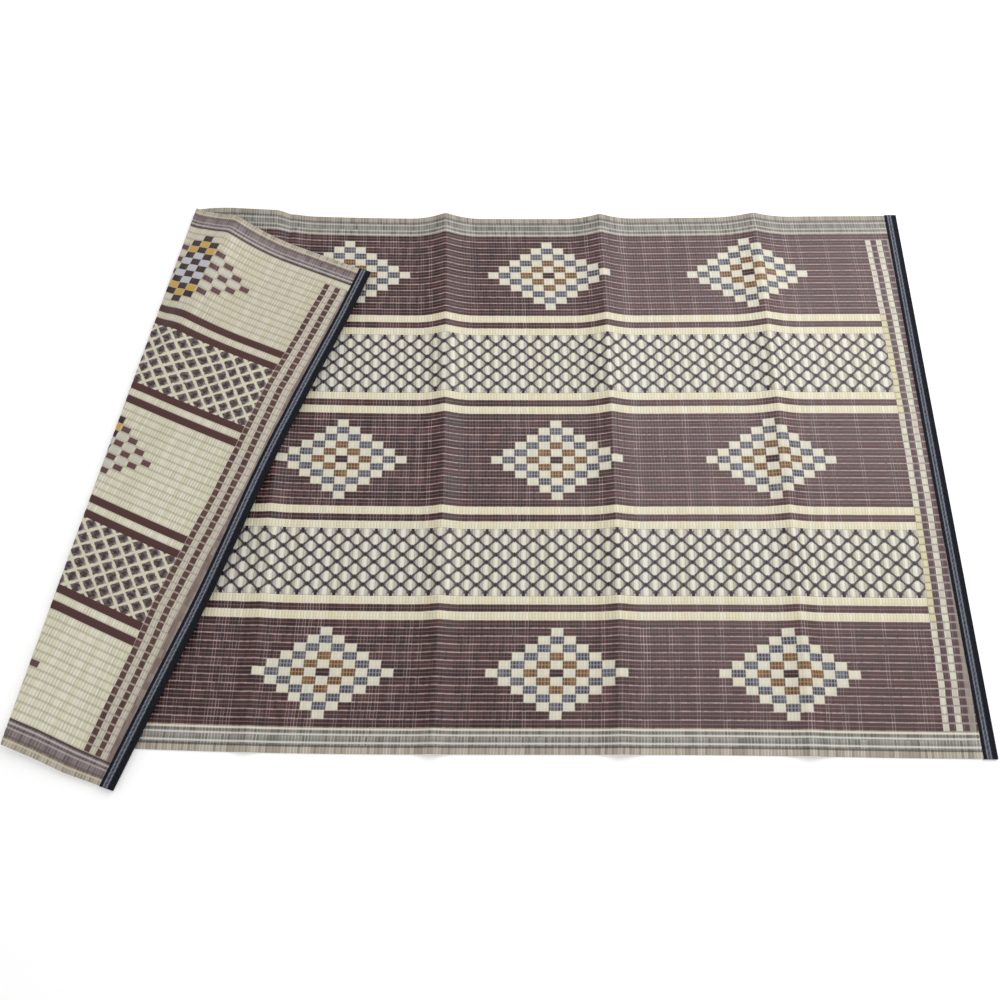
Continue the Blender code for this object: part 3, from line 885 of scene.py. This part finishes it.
def add_stitches(name, material, end_line, inwards):
    """Two rows of lock stitches through a tape, lying on both of its sides."""
    outer = CLOTH_THICK / 2 + TAPE_GAP + TAPE_THICK
    count = int(WIDTH / STITCH_PITCH)
    shares, thin = np.array(STITCH_TAPER).T
    rings = len(shares)
    angles = np.linspace(0, 2 * math.pi, STITCH_SIDES, endpoint=False)
    radius = STITCH_ROUND * thin[:, None] * np.ones_like(angles)
    points, faces = [], []
    for side in (1, -1):
        outwards = side * inwards > 0
        for from_end in STITCH_ROWS:
            for i in range(count):
                across = (i + 0.5) * WIDTH / count + shares[:, None] * STITCH_LONG + 0 * angles
                rise = outer - STITCH_ROUND * 0.3 + radius * (np.cos(angles) + 0.4)
                along = end_line(across) + inwards * (from_end + radius * np.sin(angles))
                start = len(points)
                points += list(off_the_cloth(along, across, side * rise).reshape(-1, 3))
                for ring in range(rings - 1):
                    for k in range(STITCH_SIDES):
                        a = start + ring * STITCH_SIDES + k
                        b = start + ring * STITCH_SIDES + (k + 1) % STITCH_SIDES
                        quad = (a, b, b + STITCH_SIDES, a + STITCH_SIDES)
                        faces.append(quad if outwards else quad[::-1])
                last = start + (rings - 1) * STITCH_SIDES
                near = tuple(range(start, start + STITCH_SIDES))[::-1]
                far = tuple(range(last, last + STITCH_SIDES))
                faces += [near, far] if outwards else [near[::-1], far[::-1]]
    places = np.array(points) * 1000
    return add_piece(name, points, faces, material, places, "tape")


# The floor lies this far below the mat, and the lights are as a room with one large window has them.
FLOOR_REACH = 30.0
FLOOR_DROP = -0.0004
FLOOR_ROUGHNESS = 0.9
FLOOR_GLOW = 0.22
WORLD_STRENGTH = 0.60
WINDOW_PLACE = (1.6, 1.4, 2.6)
WINDOW_WIDE, WINDOW_DEEP = 2.2, 3.0
WINDOW_WATTS = 56.0


def add_floor():
    """A plain white floor, wide enough for every view."""
    material = bpy.data.materials.new("white_floor")
    material.use_nodes = True
    shader = material.node_tree.nodes["Principled BSDF"]
    shader.inputs["Base Color"].default_value = linear("#ffffff")
    shader.inputs["Roughness"].default_value = FLOOR_ROUGHNESS
    # A little light of its own, as a lit studio sweep has, keeps it white without lighting the mat more.
    shader.inputs["Emission Color"].default_value = linear("#ffffff")
    shader.inputs["Emission Strength"].default_value = FLOOR_GLOW
    mesh = bpy.data.meshes.new("floor")
    reach, drop = FLOOR_REACH, FLOOR_DROP
    corners = [(-reach, -reach, drop), (reach, -reach, drop), (reach, reach, drop), (-reach, reach, drop)]
    mesh.from_pydata(corners, [], [(0, 1, 2, 3)])
    mesh.materials.append(material)
    floor = bpy.data.objects.new("floor", mesh)
    bpy.context.scene.collection.objects.link(floor)


def add_light(name, place, wide, deep, watts):
    """A soft lamp that looks at the mat's middle."""
    data = bpy.data.lights.new(name, "AREA")
    data.shape, data.size, data.size_y, data.energy = "RECTANGLE", wide, deep, watts
    lamp = bpy.data.objects.new(name, data)
    aim = Vector(place).to_track_quat("Z", "Y").to_matrix().to_4x4()
    lamp.matrix_world = Matrix.Translation(place) @ aim
    bpy.context.scene.collection.objects.link(lamp)


def add_camera():
    """The camera that the photograph was taken from, as its lines of perspective place it."""
    data = bpy.data.cameras.new("camera")
    data.lens = CAMERA_LENS_MM
    data.sensor_width = 36.0
    camera = bpy.data.objects.new("camera", data)
    turn = Matrix.Rotation(CAMERA_YAW, 4, "Z")
    turn = turn @ Matrix.Rotation(math.pi / 2 - CAMERA_DOWN, 4, "X")
    turn = turn @ Matrix.Rotation(CAMERA_ROLL, 4, "Z")
    camera.matrix_world = Matrix.Translation(CAMERA_PLACE) @ turn
    bpy.context.scene.collection.objects.link(camera)
    bpy.context.scene.camera = camera


def add_world(strength):
    """An even white sky."""
    world = bpy.data.worlds.new("studio")
    world.use_nodes = True
    background = world.node_tree.nodes["Background"]
    background.inputs["Color"].default_value = linear("#ffffff")
    background.inputs["Strength"].default_value = strength
    bpy.context.scene.world = world


add_camera()
add_world(WORLD_STRENGTH)
add_light("window", WINDOW_PLACE, WINDOW_WIDE, WINDOW_DEEP, WINDOW_WATTS)
add_floor()
bpy.context.scene.view_settings.view_transform = "Standard"

straw = woven_material()
tape = tape_material()
thread = thread_material()

panel = add_panel(straw)
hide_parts("mat_cloth")
tape_right = add_tape("bound_end_right", tape, right_end, -1)
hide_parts("binding_right")
tape_flap = add_tape("bound_end_flap", tape, left_end, 1)
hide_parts("binding_flap")
stitches_right = add_stitches("stitching_right", thread, right_end, -1)
stitches_flap = add_stitches("stitching_flap", thread, left_end, 1)
